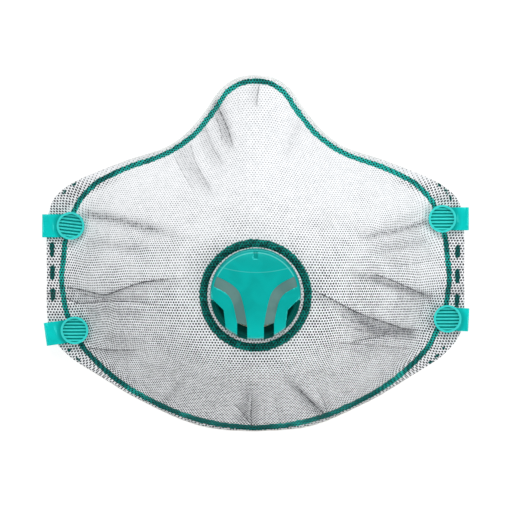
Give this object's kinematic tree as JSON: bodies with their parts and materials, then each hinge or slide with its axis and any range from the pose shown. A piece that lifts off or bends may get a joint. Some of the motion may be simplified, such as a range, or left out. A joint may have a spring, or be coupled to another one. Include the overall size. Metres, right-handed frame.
{
  "type": "disposable dust mask",
  "caption": "Moulded cup dust mask with a round exhalation valve, swivelling buckles on its flange and flat elastic headbands.",
  "frame": {"origin": "centre of the bounding box at the table that the mask lies on", "axes": "+X to the right seen from the front, +Y towards the nose, +Z out of the front of the mask"},
  "size_m": [0.1518, 0.1257, 0.0598],
  "materials": {
    "net": "white moulded net with small holes",
    "backing": "dark thin nonwoven",
    "fleece": "soft white fleece",
    "felt": "stiff moulded felt",
    "lining": "smooth soft nonwoven",
    "film": "soft translucent film",
    "foam": "fine open foam",
    "nose_strip": "plain rolled strip",
    "teal": "moulded, soft gloss",
    "deep_teal": "melted and dark",
    "grey_inlay": "satin",
    "flap_rubber": "smooth",
    "elastic": "flat knitted elastic"
  },
  "bodies": {
    "mask": {"outer_net": "net", "backing_layer": "backing", "filter_media": "fleece", "support_shell": "felt", "inner_lining": "lining", "face_seal": "film", "nose_foam": "foam", "nose_clip": "nose_strip", "valve_weld_ring": "deep_teal", "valve_base": "teal", "valve_clamp_ring": "teal", "flap_retainer": "teal", "valve_cap": "teal", "cap_stripes": "grey_inlay", "buckle_rivets": "teal", "headband_upper": "elastic", "headband_lower": "elastic"},
    "flap": {"valve_flap": "flap_rubber"},
    "buckle_upper_left_body": {"buckle_upper_left": "teal", "strap_end_upper_left": "elastic"},
    "buckle_upper_right_body": {"buckle_upper_right": "teal", "strap_end_upper_right": "elastic"},
    "buckle_lower_left_body": {"buckle_lower_left": "teal", "strap_end_lower_left": "elastic"},
    "buckle_lower_right_body": {"buckle_lower_right": "teal", "strap_end_lower_right": "elastic"}
  },
  "joints": [
    {"name": "upper_left_buckle_swivel", "type": "hinge", "parent": "mask", "child": "buckle_upper_left_body", "pos_m": [-0.0656, 0.0095, 0.00665], "axis": [0, 0, 1], "range_deg": [-6, 6]},
    {"name": "upper_right_buckle_swivel", "type": "hinge", "parent": "mask", "child": "buckle_upper_right_body", "pos_m": [0.0663, 0.012, 0.00665], "axis": [0, 0, 1], "range_deg": [-6, 6]},
    {"name": "lower_left_buckle_swivel", "type": "hinge", "parent": "mask", "child": "buckle_lower_left_body", "pos_m": [-0.0642, -0.0276, 0.00665], "axis": [0, 0, 1], "range_deg": [-6, 6]},
    {"name": "lower_right_buckle_swivel", "type": "hinge", "parent": "mask", "child": "buckle_lower_right_body", "pos_m": [0.0681, -0.0235, 0.00665], "axis": [0, 0, 1], "range_deg": [-6, 6]},
    {"name": "flap_lift", "type": "hinge", "parent": "mask", "child": "flap", "pos_m": [0, -0.00454, 0.05097], "axis": [-1, 0, 0], "range_deg": [0, 10], "stiffness_Nm_per_rad": 0.0005}
  ]
}
